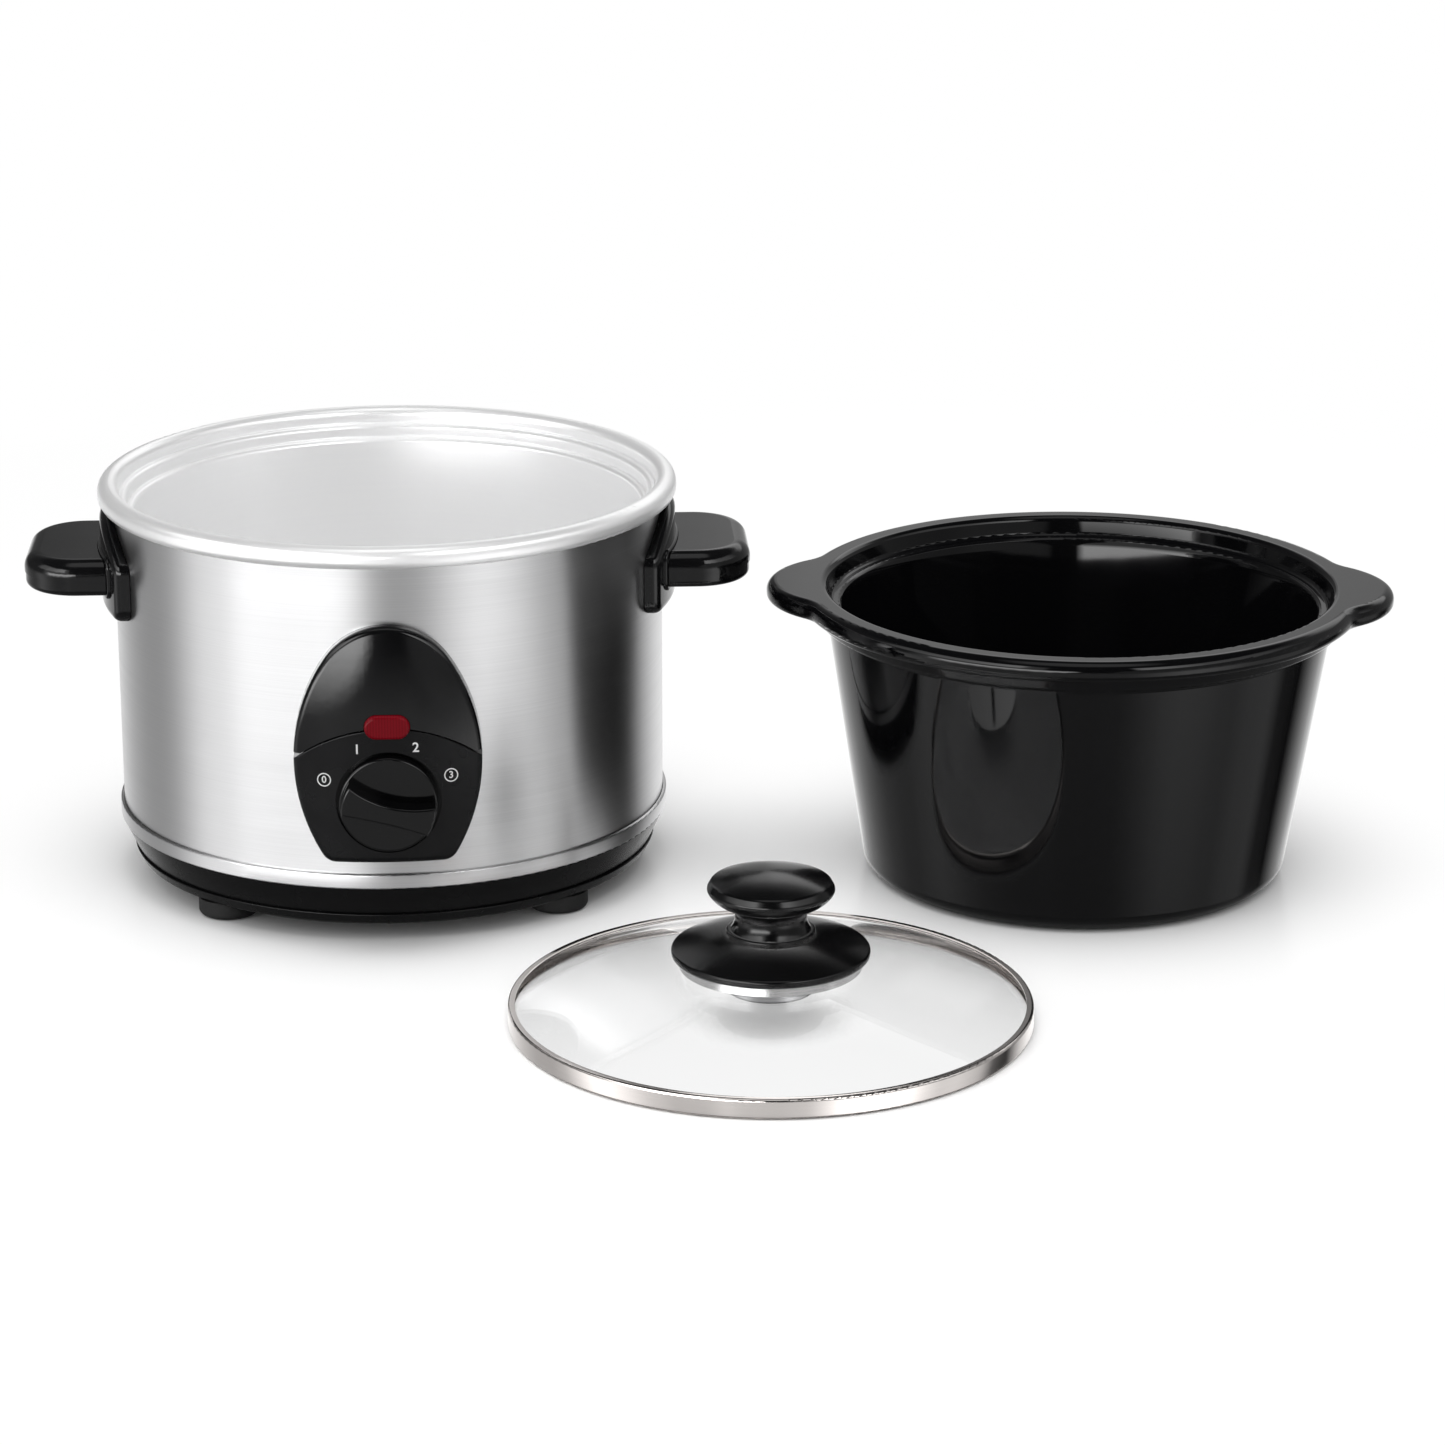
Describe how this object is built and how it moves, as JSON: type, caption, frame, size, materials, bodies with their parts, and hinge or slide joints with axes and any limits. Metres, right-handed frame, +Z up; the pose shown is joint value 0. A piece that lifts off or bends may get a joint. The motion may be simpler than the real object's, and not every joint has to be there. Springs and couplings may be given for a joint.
{
  "type": "slow cooker",
  "caption": "Round countertop slow cooker: steel heating base with handles and a turning heat knob, lift-out black crock with lugs, and domed glass lid, set out side by side.",
  "frame": {"origin": "centre of the set's bounding box, on the table", "axes": "+X to the right along the base's two handles, -Y towards the front with the control panel, +Z up"},
  "size_m": [0.5978, 0.4444, 0.1773],
  "materials": {
    "pan_black": "satin black moulding",
    "foot_rubber": "black rubber",
    "zinc_steel": "zinc plated",
    "polished_trim": "polished",
    "brushed_shell": "brushed round the body",
    "well_aluminium": "satin, almost white",
    "heater_foil": "foil faced",
    "fibre_blanket": "fibre blanket",
    "cutout_can": "plain can",
    "terminal_ceramic": "unglazed",
    "handle_black": "gloss black moulding",
    "cover_black": "gloss black moulding",
    "plate_black": "satin black moulding",
    "lens_red": "deep red, see-through, unlit",
    "lamp_glass": "small neon lamp",
    "knob_black": "satin black moulding",
    "switch_plastic": "moulded switch case",
    "crock_glaze": "gloss black glaze",
    "lid_band_steel": "polished steel band",
    "lid_glass_clear": "clear tempered glass",
    "seal_ring": "plated ring",
    "lid_knob_black": "gloss black moulding",
    "lid_washer_steel": "plated washer"
  },
  "bodies": {
    "base": {"base_pan": "pan_black", "front_left_foot": "foot_rubber", "front_right_foot": "foot_rubber", "rear_left_foot": "foot_rubber", "rear_right_foot": "foot_rubber", "foot_screws": "zinc_steel", "trim_ring": "polished_trim", "outer_shell": "brushed_shell", "heating_well": "well_aluminium", "heater_band": "heater_foil", "insulation_band": "fibre_blanket", "heat_shield": "zinc_steel", "tie_bolt": "zinc_steel", "tie_nuts": "zinc_steel", "thermal_cutout": "cutout_can", "terminal_block": "terminal_ceramic", "cord_inlet_bush": "foot_rubber", "left_handle_plate": "handle_black", "left_handle_grip": "handle_black", "right_handle_plate": "handle_black", "right_handle_grip": "handle_black", "handle_screws": "zinc_steel", "panel_cover": "cover_black", "control_plate": "plate_black", "panel_screws": "zinc_steel", "indicator_lens": "lens_red", "indicator_lamp": "lamp_glass", "rotary_switch": "switch_plastic"},
    "knob": {"control_knob": "knob_black", "switch_shaft": "zinc_steel"},
    "crock": {"crock": "crock_glaze"},
    "lid": {"lid_rim": "lid_band_steel", "lid_glass": "lid_glass_clear", "knob_seal": "seal_ring", "knob_skirt": "lid_knob_black", "lid_knob": "lid_knob_black", "lid_washer": "lid_washer_steel", "lid_screw": "zinc_steel"}
  },
  "joints": [
    {"name": "knob_turn", "type": "hinge", "parent": "base", "child": "knob", "pos_m": [-0.14054, -0.03426, 0.0683], "axis": [0, 1, 0], "range_deg": [0, 137]},
    {"name": "crock_lift", "type": "slide", "parent": "base", "child": "crock", "axis": [0, 0, 1], "range_m": [0, 0.2]},
    {"name": "lid_lift", "type": "slide", "parent": "base", "child": "lid", "axis": [0, 0, 1], "range_m": [0, 0.2]}
  ]
}
